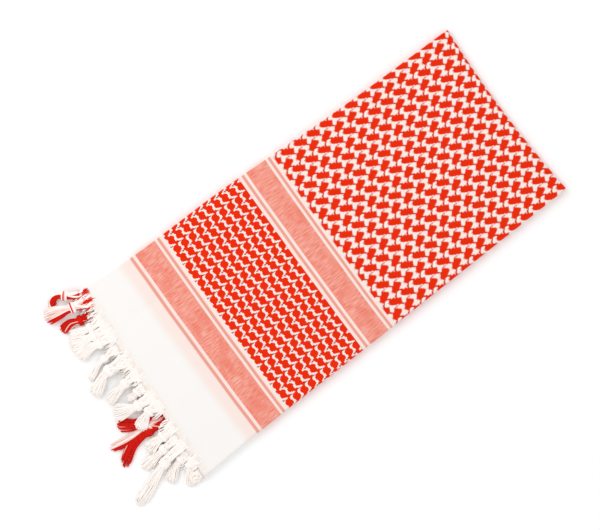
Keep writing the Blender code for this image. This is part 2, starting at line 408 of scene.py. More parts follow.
class Wiring:
    """Adds nodes to a tree and joins them up."""

    def __init__(self, tree: Tree) -> None:
        """Keep the tree that nodes go to."""
        self.tree = tree

    def node(self, kind: str, **settings: object) -> bpy.types.Node:
        """Add a node of one kind and set its options.

        Args:
            kind: Blender's name for the kind of node.
            settings: Its options by name.

        Returns:
            The node.
        """
        added = self.tree.nodes.new(kind)
        for name, value in settings.items():
            setattr(added, name, value)
        return added

    def feed(self, socket: Socket, value: Value) -> None:
        """Give an input its value.

        Args:
            socket: The input to feed.
            value: A number, a colour or another node's output.
        """
        if isinstance(value, Socket):
            self.tree.links.new(value, socket)
        elif isinstance(value, tuple) and socket.type == "RGBA":
            socket.default_value = (*value, 1.0)
        else:
            socket.default_value = value

    def math(self, operation: str, *values: Value, clamp: bool = False) -> Socket:
        """Add a Math node.

        Args:
            operation: Blender's name for the operation.
            values: Its inputs, in order.
            clamp: Whether the result is held to 0 to 1.

        Returns:
            The result's socket.
        """
        added = self.node("ShaderNodeMath", operation=operation, use_clamp=clamp)
        for socket, value in zip(added.inputs, values):
            self.feed(socket, value)
        return added.outputs[0]

    def times(self, first: Value, second: Value) -> Socket:
        """Return two values multiplied."""
        return self.math("MULTIPLY", first, second)

    def plus(self, first: Value, second: Value, clamp: bool = False) -> Socket:
        """Return two values added."""
        return self.math("ADD", first, second, clamp=clamp)

    def minus(self, first: Value, second: Value, clamp: bool = False) -> Socket:
        """Return the second value taken from the first."""
        return self.math("SUBTRACT", first, second, clamp=clamp)

    def between(self, value: Value, start: float, end: float, soft: float = 0.35) -> Socket:
        """Mask the stretch of a measure between start and end.

        Args:
            value: What is measured.
            start: Where the stretch starts.
            end: Where it ends.
            soft: Half the width of its soft edges.

        Returns:
            A mask that is 1 in the stretch and 0 outside.
        """
        middle, half = (start + end) / 2, (end - start) / 2
        off = self.math("ABSOLUTE", self.minus(value, middle))
        return self.step(off, half + soft, half - soft)

    def step(self, value: Value, low: float, high: float) -> Socket:
        """Rise or fall smoothly from one place to another.

        Args:
            value: What is measured.
            low: Where the result is 0.
            high: Where it is 1, above or below low.

        Returns:
            The result, 0 to 1.
        """
        added = self.node("ShaderNodeMapRange", interpolation_type="SMOOTHSTEP", clamp=True)
        for name, item in (("Value", value), ("From Min", low), ("From Max", high)):
            self.feed(added.inputs[name], item)
        return added.outputs[0]

    def mix(self, share: Value, low: Value, high: Value) -> Socket:
        """Mix two colours.

        Args:
            share: How much of the second colour shows.
            low: The first colour.
            high: The second colour.

        Returns:
            The mixed colour.
        """
        added = self.node("ShaderNodeMix", data_type="RGBA")
        self.feed(added.inputs["Factor"], share)
        colours = [socket for socket in added.inputs if socket.type == "RGBA"]
        self.feed(colours[0], low)
        self.feed(colours[1], high)
        return next(socket for socket in added.outputs if socket.type == "RGBA")

    def grain(self, along: Value, across: Value, scale: Sequence[float], layer: float = 0.0) -> Socket:
        """Make noise over two measures, each with its own scale.

        Args:
            along: Measure along the cloth or strand.
            across: Measure across or round it.
            scale: What each measure is multiplied by.
            layer: Which layer of the noise is read.

        Returns:
            Noise of 0 to 1.
        """
        point = self.node("ShaderNodeCombineXYZ")
        spot = (self.times(along, scale[0]), self.times(across, scale[1]), layer)
        for socket, value in zip(point.inputs, spot):
            self.feed(socket, value)
        added = self.node("ShaderNodeTexNoise")
        self.feed(added.inputs["Vector"], point.outputs[0])
        self.feed(added.inputs["Scale"], 1.0)
        self.feed(added.inputs["Detail"], 2.0)
        return added.outputs[0]

    def group(self, group: Tree, **values: Value) -> dict[str, Socket]:
        """Place a node group.

        Args:
            group: The node group.
            values: What its inputs are fed, by name.

        Returns:
            Its outputs by name.
        """
        added = self.node("ShaderNodeGroup", node_tree=group)
        for name, value in values.items():
            self.feed(added.inputs[name], value)
        return {socket.name: socket for socket in added.outputs}

    def measures(self) -> tuple[Socket, Socket]:
        """Read the two measures of a piece's own map.

        Returns:
            The measures along and across, in millimetres.
        """
        source = self.node("ShaderNodeUVMap", uv_map=CLOTH_MAP)
        parts = self.node("ShaderNodeSeparateXYZ")
        self.feed(parts.inputs[0], source.outputs[0])
        return self.math("DIVIDE", parts.outputs[0], MM), self.math("DIVIDE", parts.outputs[1], MM)


def new_group(
    name: str, inputs: Iterable[str], outputs: Iterable[str]
) -> tuple[Tree, Wiring, dict[str, Socket], dict[str, Socket]]:
    """Start a shader node group whose sockets are all plain values.

    Args:
        name: The group's name.
        inputs: Names of its inputs.
        outputs: Names of its outputs.

    Returns:
        The group, its wiring, its inputs by name and its outputs by name.
    """
    tree = bpy.data.node_groups.new(name, "ShaderNodeTree")
    for item in inputs:
        tree.interface.new_socket(item, in_out="INPUT", socket_type="NodeSocketFloat")
    for item in outputs:
        tree.interface.new_socket(item, in_out="OUTPUT", socket_type="NodeSocketFloat")
    wiring = Wiring(tree)
    source, sink = wiring.node("NodeGroupInput"), wiring.node("NodeGroupOutput")
    takes = {socket.name: socket for socket in source.outputs if socket.name}
    gives = {socket.name: socket for socket in sink.inputs if socket.name}
    return tree, wiring, takes, gives


# ---- the woven pattern

# One repeat of each pattern: a character is one thread along and one across. The first line is the side
# nearest the open side, '#' is a red float, 'x' a dark crossing thread and '.' the white ground.
HOOKS = (
    "##########x...####",
    "##########.....x##",
    "#########x.......#",
    "x########.........",
    "...#####x.........",
    "xx.x####......xxxx",
    "......xxx....x##..",
    ".......xxx..#####x",
    ".........x########",
    "#x......x#########",
    "##......##########",
    "##x....###########",
    "##...x############",
    "x.....############",
    ".....x##########x.",
    ".......########...",
    ".......x#####xxx..",
    "........xx....xxxx",
    "......xxx......x##",
    "###x.xxx......####",
    "####.xx.....x#####",
    "######x......#####",
    "#######.....x#####",
    "########x....#####",
)
PEBBLES = (
    "...xxx#####",
    "....x.#####",
    "###....####",
    "####...####",
    "#####...###",
    "#####...###",
    "#####..####",
    "####...####",
    "####...####",
    "####...####",
    "####....###",
    "######....#",
    ".#####x....",
    "..####xxx..",
    "#####....##",
    "####....###",
    "####...####",
    "####...####",
    "#####..####",
    "#####..####",
    "#####...###",
    "#####...###",
    "####....###",
    "##....#####",
)


def chart_code(line: str, mark: str) -> float:
    """Return a chart's line as one number, whose binary places say which threads carry a mark."""
    code = sum(0.5 ** (place + 1) for place, letter in enumerate(line) if letter == mark)
    return code + 0.5 ** (len(line) + 1)


def chart_group(name: str, chart: Sequence[str]) -> Tree:
    """Make the group that reads a charted repeat.

    Args:
        name: The group's name.
        chart: The repeat, one string a line.

    Returns:
        A group from Along (in repeats) and Across (in rows) to the masks Red and Tick.
    """
    tree, wiring, takes, gives = new_group(name, ("Along", "Across"), ("Red", "Tick"))
    columns, lines = len(chart[0]), len(chart)
    column = wiring.math("FLOOR", wiring.times(wiring.math("FRACT", takes["Along"]), columns))
    line = wiring.math("FLOOR", wiring.times(wiring.math("FRACT", takes["Across"]), lines))
    place = wiring.minus(1 - 0.5 / lines, wiring.math("DIVIDE", line, lines))
    ramp = wiring.node("ShaderNodeValToRGB")
    wiring.feed(ramp.inputs[0], place)
    ramp.color_ramp.interpolation = "CONSTANT"
    stops = ramp.color_ramp.elements
    while len(stops) < lines:
        stops.new(0.5)
    for row in range(lines):
        stops[row].position = row / lines
    for stop, text in zip(stops, chart):
        stop.color = (chart_code(text, "#"), chart_code(text, "x"), 0.0, 1.0)
    codes = wiring.node("ShaderNodeSeparateColor")
    wiring.feed(codes.inputs[0], ramp.outputs[0])
    power = wiring.math("POWER", 2.0, wiring.plus(column, 1.0))
    for output, code in (("Red", codes.outputs[0]), ("Tick", codes.outputs[1])):
        shifted = wiring.math("FLOOR", wiring.times(code, power))
        wiring.feed(gives[output], wiring.math("MODULO", shifted, 2.0))
    return tree


THREAD_STREAKS = (0.035, 1.0)  # noise scale along and across threads, so that each keeps its tone
YARN_FIBRES = (0.8, 9.0)  # noise scale along and around a strand
YARN_LAY = (0.55, 2.0)  # turns of the twist's ridges for each mm along, and ridges round a strand


def thread_group() -> Tree:
    """Make the group for plain-woven threads.

    Returns:
        A group from Along and Across, in threads, to Height and Tone.
    """
    tree, wiring, takes, gives = new_group("woven threads", ("Along", "Across"), ("Height", "Tone"))
    whole, crest = {}, {}
    for name, measure in takes.items():
        whole[name] = wiring.math("FLOOR", measure)
        crest[name] = wiring.math("SINE", wiring.times(wiring.math("FRACT", measure), pi))
    over = wiring.math("PINGPONG", wiring.plus(whole["Along"], whole["Across"]), 1.0)
    heights = []
    for name, other, shown in (("Along", "Across", over), ("Across", "Along", wiring.minus(1.0, over))):
        narrowed = wiring.math("SQRT", crest[other])
        heights.append(wiring.times(wiring.times(crest[name], shown), narrowed))
    wiring.feed(gives["Height"], wiring.plus(*heights))
    wiring.feed(gives["Tone"], wiring.grain(takes["Along"], whole["Across"], THREAD_STREAKS))
    return tree


def yarn_group() -> Tree:
    """Make the group for twisted yarn.

    Returns:
        A group from Along and Around, in millimetres and sides, to Height and Tone.
    """
    tree, wiring, takes, gives = new_group("twisted yarn", ("Along", "Around"), ("Height", "Tone"))
    along, around = takes["Along"], takes["Around"]
    slant = wiring.plus(wiring.times(along, YARN_LAY[0]), wiring.times(around, YARN_LAY[1]))
    lay = wiring.math("ABSOLUTE", wiring.math("SINE", wiring.times(slant, pi)))
    fibres = wiring.grain(along, around, YARN_FIBRES)
    wiring.feed(gives["Height"], wiring.plus(wiring.times(lay, 0.7), wiring.times(fibres, 0.5)))
    wiring.feed(gives["Tone"], fibres)
    return tree


@dataclass(frozen=True)
class Band:
    """A stretch of the cloth, measured along it from the fringed edge, in millimetres."""

    start: float
    end: float


@dataclass(frozen=True)
class WovenBands:
    """Where each stretch of the design lies along half the cloth."""

    blush: Band = Band(50.0, 65.6)
    stripes: tuple[Band, ...] = (
        Band(65.8, 69.5),
        Band(104.3, 107.7),
        Band(226.9, 230.2),
        Band(263.4, 266.6),
    )
    broad: tuple[Band, ...] = (Band(73.3, 101.3), Band(233.6, 260.3))
    pebbles: Band = Band(112.0, 223.0)
    gaps: tuple[Band, ...] = (Band(64.5, 110.0), Band(223.5, 269.5))
    hooks: Band = Band(269.8, 600.0)

    def group(self) -> Tree:
        """Make the group that masks the design's stretches.

        Returns:
            A group from Along, in millimetres, to a mask for each stretch.
        """
        sets = {
            "Stripe": self.stripes,
            "Broad": self.broad,
            "Gap": self.gaps,
            "Pebbles": (self.pebbles,),
            "Hooks": (self.hooks,),
        }
        tree, wiring, takes, gives = new_group("woven bands", ("Along",), ("Blush", *sets))
        along = takes["Along"]
        wiring.feed(gives["Blush"], wiring.step(along, self.blush.start - 6, self.blush.start + 8))
        for name, bands in sets.items():
            masks = [wiring.between(along, band.start, band.end) for band in bands]
            total = masks[0]
            for mask in masks[1:]:
                total = wiring.plus(total, mask)
            wiring.feed(gives[name], total)
        return tree


@dataclass(frozen=True)
class Repeat:
    """How a charted repeat lies on the cloth, in millimetres and rows."""

    length: float
    start: float
    row_shift: float


@dataclass(frozen=True)
class Finish:
    """What all the scarf's materials share."""

    name: str
    bump: float
    relief: float
    roughness: float
    specular: float
    sheen: float

    def start(self) -> tuple[Material, Wiring, bpy.types.ShaderNode]:
        """Start a material with this finish's plain values.

        Returns:
            The material, its wiring and its shader.
        """
        material = bpy.data.materials.new(self.name)
        material.use_nodes = True
        shader = material.node_tree.nodes["Principled BSDF"]
        shader.inputs["Roughness"].default_value = self.roughness
        shader.inputs["Specular IOR Level"].default_value = self.specular
        shader.inputs["Sheen Weight"].default_value = self.sheen
        return material, Wiring(material.node_tree), shader

    def surface(
        self, wiring: Wiring, shader: bpy.types.ShaderNode, colour: Socket, height: Socket
    ) -> None:
        """Join a colour and a relief to the shader.

        Args:
            wiring: The material's wiring.
            shader: Its Principled BSDF.
            colour: The base colour.
            height: The relief, as a share of its depth.
        """
        wiring.feed(shader.inputs["Base Color"], colour)
        bump = wiring.node("ShaderNodeBump")
        wiring.feed(bump.inputs["Height"], height)
        bump.inputs["Strength"].default_value = self.bump
        bump.inputs["Distance"].default_value = self.relief * MM
        wiring.feed(shader.inputs["Normal"], bump.outputs[0])


@dataclass(frozen=True)
class PatternedCotton(Finish):
    """The scarf's woven cotton: white ground, red floats, salmon bands, thread relief."""

    bump: float = 0.25
    relief: float = 0.3
    roughness: float = 0.92
    specular: float = 0.05
    sheen: float = 0.02
    ground: Colour = cloth_tone(254, 233, 225)
    border: Colour = cloth_tone(252, 249, 246)
    blush: Colour = cloth_tone(253, 235, 228)
    gap: Colour = cloth_tone(253, 230, 222)
    # painted shade: the beige that streaks the cloth by the fringed edge, standing for the shade between
    # its gathered pleats
    gathered: Colour = cloth_tone(250, 236, 222)
    red: Colour = cloth_tone(240, 46, 10)
    tick: Colour = cloth_tone(212, 58, 36)
    fine_tick: Colour = cloth_tone(150, 66, 50)
    broad: Colour = cloth_tone(246, 160, 143)
    broad_deep: Colour = cloth_tone(241, 124, 104)
    broad_pale: Colour = cloth_tone(250, 182, 167)
    stripe: Colour = cloth_tone(242, 164, 148)
    shadow_tone: float = 0.72
    shadow_share: float = 0.16
    float_relief: float = 0.5
    slip: float = 1.1
    hatch_scale: tuple[float, float] = (0.09, 1.25)
    patch_scale: tuple[float, float] = (0.06, 0.035)
    patch_share: float = 0.55
    pitch: float = 1.02
    hooks: Repeat = Repeat(18.165, 393.5, 0.528)
    pebbles: Repeat = Repeat(11.359, 162.5, 0.218)
    # how far from the fringed edge the painted pleat shade reaches, mm
    pleat_shade_end: float = 15.0
    pale_line: Band = Band(64.4, 65.9)  # a pale mark along the cloth, measured across it
    pale_line_share: float = 0.7
    pale_line_ends: tuple[float, float] = (150.0, 110.0)

    def build(self, groups: dict[str, Tree], crest: float) -> Material:
        """Make the material.

        Args:
            groups: The shared node groups by name.
            crest: The measure along the cloth at its last fold, where the design turns back.

        Returns:
            The material.
        """
        material, wiring, shader = self.start()
        along, across = wiring.measures()
        threads = wiring.group(
            groups["threads"],
            Along=wiring.math("DIVIDE", along, self.pitch),
            Across=wiring.math("DIVIDE", across, self.pitch),
        )
        past_crest = wiring.math("ABSOLUTE", wiring.minus(along, crest))
        bands = wiring.group(groups["bands"], Along=wiring.minus(crest, past_crest))
        slip = wiring.times(wiring.minus(threads["Tone"], 0.5), self.slip)
        red, tick = self.floats(wiring, groups, bands, wiring.plus(along, slip), across)
        ground = self.pale_ground(wiring, bands, along, across)
        colour = wiring.mix(bands["Broad"], ground, self.salmon(wiring, along, across))
        colour = wiring.mix(bands["Stripe"], colour, self.stripe)
        colour = wiring.mix(tick, colour, wiring.mix(bands["Pebbles"], self.tick, self.fine_tick))
        colour = wiring.mix(red, colour, self.red)
        # painted shade: the red floats are darkened where the thread relief dips between threads
        shade = wiring.times(wiring.minus(1.0, threads["Height"]), self.shadow_share)
        dark = tuple(channel * self.shadow_tone for channel in self.red)
        colour = wiring.mix(wiring.times(shade, red), colour, dark)
        height = wiring.plus(threads["Height"], wiring.times(red, self.float_relief))
        self.surface(wiring, shader, colour, height)
        return material

    def floats(
        self,
        wiring: Wiring,
        groups: dict[str, Tree],
        bands: dict[str, Socket],
        along: Socket,
        across: Socket,
    ) -> tuple[Socket, Socket]:
        """Wire both charted repeats.

        Args:
            wiring: The material's wiring.
            groups: The shared node groups by name.
            bands: The masks of the design's stretches.
            along: Measure along the cloth.
            across: Measure across it.

        Returns:
            The masks of the red floats and of the dark crossings.
        """
        masks = []
        rows = wiring.math("DIVIDE", across, ROW)
        for chart, repeat in (("hooks", self.hooks), ("pebbles", self.pebbles)):
            place = wiring.math("DIVIDE", wiring.minus(along, repeat.start), repeat.length)
            row = wiring.plus(rows, repeat.row_shift)
            read = wiring.group(groups[chart], Along=place, Across=row)
            band = bands[chart.capitalize()]
            masks.append([wiring.times(read[name], band) for name in ("Red", "Tick")])
        red = wiring.plus(masks[0][0], masks[1][0])
        tick = wiring.minus(wiring.plus(masks[0][1], masks[1][1]), red, clamp=True)
        return red, tick

    def hatch(self, wiring: Wiring, along: Socket, across: Socket) -> Socket:
        """Return the fine streaks of uneven threads, 0 to 1."""
        return wiring.grain(along, across, self.hatch_scale)

    def pale_ground(
        self, wiring: Wiring, bands: dict[str, Socket], along: Socket, across: Socket
    ) -> Socket:
        """Wire the colour that lies under the bands and floats.

        Args:
            wiring: The material's wiring.
            bands: The masks of the design's stretches.
            along: Measure along the cloth.
            across: Measure across it.

        Returns:
            The colour, with painted pleat shade in beige streaks near the fringed edge.
        """
        patterned = wiring.plus(bands["Pebbles"], bands["Hooks"], clamp=True)
        ground = wiring.mix(bands["Blush"], self.border, self.blush)
        ground = wiring.mix(bands["Gap"], ground, self.gap)
        # painted shade: beige streaks within a few millimetres of the fringed edge stand for the shade
        # between the gathered pleats
        slant = wiring.times(wiring.minus(HEM_START, across), HEM_SLANT / HEM_LENGTH)
        near_hem = wiring.step(wiring.plus(along, slant), self.pleat_shade_end, 1.0)
        streaks = wiring.step(self.hatch(wiring, along, across), 0.40, 0.62)
        ground = wiring.mix(wiring.times(near_hem, streaks), ground, self.gathered)
        return wiring.mix(patterned, ground, self.ground)

    def salmon(self, wiring: Wiring, along: Socket, across: Socket) -> Socket:
        """Wire the broad bands' colour.

        Args:
            wiring: The material's wiring.
            along: Measure along the cloth.
            across: Measure across it.

        Returns:
            The colour: streaked, patchy and crossed by one pale line.
        """
        hatch = self.hatch(wiring, along, across)
        patch = wiring.step(wiring.grain(along, across, self.patch_scale, 7.0), 0.46, 0.66)
        broad = wiring.mix(wiring.step(hatch, 0.48, 0.64), self.broad, self.broad_deep)
        broad = wiring.mix(wiring.step(hatch, 0.50, 0.36), broad, self.broad_pale)
        broad = wiring.mix(wiring.times(patch, self.patch_share), broad, self.broad_deep)
        # a thin pale line along the cloth lightens the salmon band towards the fringed edge
        line = wiring.between(across, self.pale_line.start, self.pale_line.end, 0.5)
        mark = wiring.times(line, wiring.step(along, *self.pale_line_ends))
        return wiring.mix(wiring.times(mark, self.pale_line_share), broad, self.broad_pale)


@dataclass(frozen=True)
class TasselYarn(Finish):
    """Cotton yarn for tassels, coloured strand by strand from undyed to dyed."""

    bump: float = 0.5
    relief: float = 0.2
    roughness: float = 0.9
    specular: float = 0.15
    sheen: float = 0.05
    undyed: Colour = linear(255, 252, 249)
    undyed_deep: Colour = linear(254, 240, 231)
    pink: Colour = linear(246, 178, 166)
    dyed: Colour = linear(238, 30, 8)
    dyed_deep: Colour = linear(176, 6, 2)

    def build(self, groups: dict[str, Tree]) -> Material:
        """Make the material.

        Args:
            groups: The shared node groups by name.

        Returns:
            The material.
        """
        material, wiring, shader = self.start()
        along, around = wiring.measures()
        yarn = wiring.group(groups["yarn"], Along=along, Around=around)
        dye = wiring.node("ShaderNodeAttribute", attribute_name=DYE).outputs["Fac"]
        tone = wiring.step(yarn["Tone"], 0.40, 0.66)
        light = wiring.mix(tone, self.undyed, self.undyed_deep)
        deep = wiring.mix(tone, self.dyed, self.dyed_deep)
        colour = wiring.mix(wiring.step(dye, 0.15, 0.5), light, self.pink)
        colour = wiring.mix(wiring.step(dye, 0.55, 0.9), colour, deep)
        self.surface(wiring, shader, colour, yarn["Height"])
        return material


# ---- cloth pieces


def lattice(columns: int, lines: int) -> Mesh:
    """Make a flat grid whose points hold their own counts.

    Args:
        columns: How many stretches it has along x.
        lines: How many it has along y.

    Returns:
        The grid as a bmesh.
    """
    block = bmesh.new()
    bmesh.ops.create_grid(block, x_segments=columns, y_segments=lines, size=0.5)
    for point in block.verts:
        point.co.x = round((point.co.x + 0.5) * columns)
        point.co.y = round((point.co.y + 0.5) * lines)
    return block


def map_faces(block: Mesh, places: dict[int, tuple[float, float]]) -> None:
    """Write each point's weave measures to the piece's map, in metres.

    Args:
        block: The piece's mesh.
        places: Each point's measures along and across the cloth, in millimetres.
    """
    layer = block.loops.layers.uv.new(CLOTH_MAP)
    for face in block.faces:
        for loop in face.loops:
            along, across = places[loop.vert.index]
            loop[layer].uv = (along * MM, across * MM)


@dataclass
class OuterCloth:
    """The ply that wraps the pad: over the top, round the last fold and back underneath."""

    pad: PadShape
    flat_columns: int = 150
    fold_columns: int = 20
    open_lines: int = 6
    flat_lines: int = 84
    folded_lines: int = 14
    hook_end: float = 249.0
    wall: float = 0.9
    side_fade: float = 6.0
    fold_fade: float = 12.0
    scallops: int = 21
    scallop: float = 0.5
    scallop_fade: float = 8.0
    dip: float = 0.55
    dip_fade: float = 14.0

    def across(self, line: int, x: float) -> tuple[float, float, float, float]:
        """Return a point of the cloth's outside in the section at x.

        Args:
            line: The line of the grid, from the open side.
            x: Place along the pad.

        Returns:
            y, how far below the pad's top, y if the bend were rolled flat, and how flat it lies.
        """
        pad = self.pad
        near, far = pad.open_side(x) - pad.open_roll, pad.folded_side(x) + pad.fold_roll
        flat_start, flat_end = self.open_lines, self.open_lines + self.flat_lines
        if line < flat_start:
            angle = radians(90 * line / self.open_lines)
            y, down = near + pad.open_roll * cos(angle), pad.open_roll * (1 - sin(angle))
            return y, down, near + pad.open_roll * (pi / 2 - angle), 0.0
        if line > flat_end:
            share = (line - flat_end) / self.folded_lines
            angle = radians(90 + (self.hook_end - 90) * share)
            y, down = far + pad.fold_roll * cos(angle), pad.fold_roll * (1 - sin(angle))
            return y, down, far - pad.fold_roll * (angle - pi / 2), 0.0
        y = near + (far - near) * (line - flat_start) / self.flat_lines
        return y, 0.0, y, eased((near - y) / self.side_fade) * eased((y - far) / self.side_fade)

    def build(self, material: Material) -> Piece:
        """Make the cloth.

        Args:
            material: Its finish.

        Returns:
            The piece, with its wall thickness as a live modifier.
        """
        pad = self.pad
        columns = 2 * self.flat_columns + self.fold_columns
        lines = self.open_lines + self.flat_lines + self.folded_lines
        block = lattice(columns, lines)
        places = {}
        for point in block.verts:
            column, line = round(point.co.x), round(point.co.y)
            near_end = min(column, columns - column)
            share = min(near_end / self.flat_columns, 1.0)
            turn = pi * min(max((column - self.flat_columns) / self.fold_columns, 0.0), 1.0)
            y, down, rolled, flatness = self.across(line, share * (pad.length - pad.half))
            x = pad.along(share, y, pad.half)
            side = Side.TOP if turn < pi / 2 else Side.UNDER
            lift = relief(side, x, y) * flatness
            lift *= eased((pad.fold(y) - x - pad.half) / self.fold_fade)
            lift -= self.edge_dip(x, y) * flatness
            height = pad.half - down + lift
            along, across = pad.weave(x, rolled)
            along += (2 * pad.crest - 2 * along) * turn / pi
            x += self.edge_pull(x, y)
            places[point.index] = (along, across)
            point.co = pad.place(x + height * sin(turn), y, pad.half + height * cos(turn))
        block.verts.index_update()
        map_faces(block, places)
        if self.upwards(block) < 0:
            bmesh.ops.reverse_faces(block, faces=block.faces)
        piece = finished("folded_cloth", block, material)
        wall = piece.modifiers.new("wall", "SOLIDIFY")
        wall.thickness = self.wall * MM
        wall.offset = -1.0
        wall.use_even_offset = False
        return piece

    def edge_pull(self, x: float, y: float) -> float:
        """Return how far the gathered tassels pull the fringed edge in and out."""
        wave = sin(2 * pi * self.scallops * y / HEM_LENGTH + 1.3 * sin(y / 17))
        return self.scallop * wave * eased(1 - (x - self.pad.hem(y)) / self.scallop_fade)

    def edge_dip(self, x: float, y: float) -> float:
        """Return how far the fringed edge sinks and ripples between its tassels."""
        wave = 0.5 + 0.5 * sin(2 * pi * self.scallops * y / HEM_LENGTH + 2.1)
        return self.dip * wave * eased(1 - (x - self.pad.hem(y)) / self.dip_fade)

    def upwards(self, block: Mesh) -> float:
        """Measure which way the top face looks.

        Args:
            block: The cloth's mesh.

        Returns:
            A sum that is above zero if it looks up and below zero if it looks down.
        """
        block.normal_update()
        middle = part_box("outer_ply_top")[1].z - 2 * MM
        return sum(face.normal.z for face in block.faces if face.calc_center_median().z > middle)


@dataclass
class HiddenPlies:
    """The six plies inside the outer one, as one rounded block whose edges part ply by ply."""

    pad: PadShape
    columns: int = 170
    lines: int = 36
    steps: int = 5
    groove: float = 0.75
    sag: float = 0.8
    sag_fade: float = 14.0
    ragged: float = 0.9
    design_step: float = 9.7  # how far the design shifts from one ply to the next

    def rows(self) -> list[tuple[float, float, float]]:
        """Work out the block's rows from the floor up.

        Returns:
            Each row's height, how deep its edge is drawn in, and which ply it is on.
        """
        pad = self.pad
        first, last = 1, pad.plies - 1
        bottom, top = pad.cloth + pad.gap, pad.stack - pad.cloth - pad.gap
        found = []
        for ply in range(first, last):
            for step in range(self.steps + (ply == last - 1)):
                share = step / self.steps
                height = min(top, max(bottom, (ply + share) * pad.ply))
                round_edge = 1 - sqrt(max(0.0, 1 - (2 * share - 1) ** 2))
                found.append((height, self.groove * round_edge, ply + 0.5))
        return found

    def build(self, material: Material) -> Piece:
        """Make the block.

        Args:
            material: Its finish.

        Returns:
            The piece.
        """
        pad, rows = self.pad, self.rows()
        block = lattice(self.columns, self.lines)
        top = list(block.faces) + list(block.edges)
        for row in range(len(rows) - 1):
            top = bmesh.ops.extrude_face_region(block, geom=top, use_keep_orig=row == 0)["geom"]
            points = [item for item in top if isinstance(item, bmesh.types.BMVert)]
            bmesh.ops.translate(block, vec=(0, 0, 1), verts=points)
        block.verts.index_update()
        places = {}
        lowest, highest = 0, len(rows) - 1
        for point in block.verts:
            column, line, row = (round(value) for value in point.co)
            height, drawn_in, ply = rows[row]
            share = column / self.columns
            x, y = self.edges(share, line / self.lines, height, drawn_in, ply)
            inside = eased((pad.open_side(share * pad.length) - y) / self.sag_fade)
            inside *= eased((x - pad.hem(y)) / self.sag_fade)
            if row in (lowest, highest):
                height += (1 if row == lowest else -1) * self.sag * inside
            along, across = pad.weave(x, y)
            places[point.index] = (along, across + self.design_step * ply)
            point.co = pad.place(x, y, height)
        map_faces(block, places)
        bmesh.ops.recalc_face_normals(block, faces=block.faces)
        if block.calc_volume(signed=True) < 0:
            bmesh.ops.reverse_faces(block, faces=block.faces)
        return finished("inner_plies", block, material)

    def edges(
        self, along: float, across: float, height: float, drawn_in: float, ply: float
    ) -> tuple[float, float]:
        """Return x and y of a point of the block.

        Args:
            along: Share of the way from the fringed edge to the last fold.
            across: Share of the way from the open side to the folded side.
            height: Height over the floor.
            drawn_in: How far the ply's edge is rounded back here.
            ply: The ply's number, which sets how its edge wanders.

        Returns:
            x and y.
        """
        pad = self.pad
        guess = along * pad.length
        from_middle = abs(height - pad.half)
        side_radius = pad.fold_roll - pad.cloth - pad.gap
        by_roll = from_middle > pad.half - pad.open_roll - pad.ply / 2
        behind_roll = pad.cloth + pad.gap if by_roll else 0.0
        lobe = min(side_radius, abs(from_middle - pad.fold_roll))
        bulge = side_radius - sqrt(side_radius**2 - lobe**2)
        fold_radius = pad.half - pad.fold_roll
        turn = fold_radius - sqrt(max(0.0, fold_radius**2 - from_middle**2))
        wander = self.ragged * abs(uneven(guess / 30, ply * 3.1, 0.5))
        near = pad.open_side(guess) - behind_roll - drawn_in - wander
        far = pad.folded_side(guess) + pad.cloth + pad.gap + bulge
        y = near + (far - near) * across
        start = pad.hem(y) + drawn_in + self.ragged * abs(uneven(y / 9, ply * 5.7, 2.5))
        end = pad.fold(y) - (pad.half - fold_radius + turn)
        return start + along * (end - start), y


# ---- tassels


class Yarn(Enum):
    """How a tassel's strands are dyed."""

    CREAM = "cream_yarn"
    RED = "red_yarn"
    STRIPED = "striped_yarn"


@dataclass(frozen=True)
class TasselRow:
    """One tassel's place and size, in millimetres.

    ply counts from the floor, tip is the height of the tip's middle, root is the place across the
    fringed edge, flare is the tip's width as a share of the tassel's, bends are x and y, and red_from is
    where across a striped bundle, from -1 to 1, its strands turn red.
    """

    node: str
    yarn: Yarn
    ply: int
    tip: float
    width: float
    root: float
    flare: float
    bends: tuple[tuple[float, float], ...]
    red_from: float = 0.35


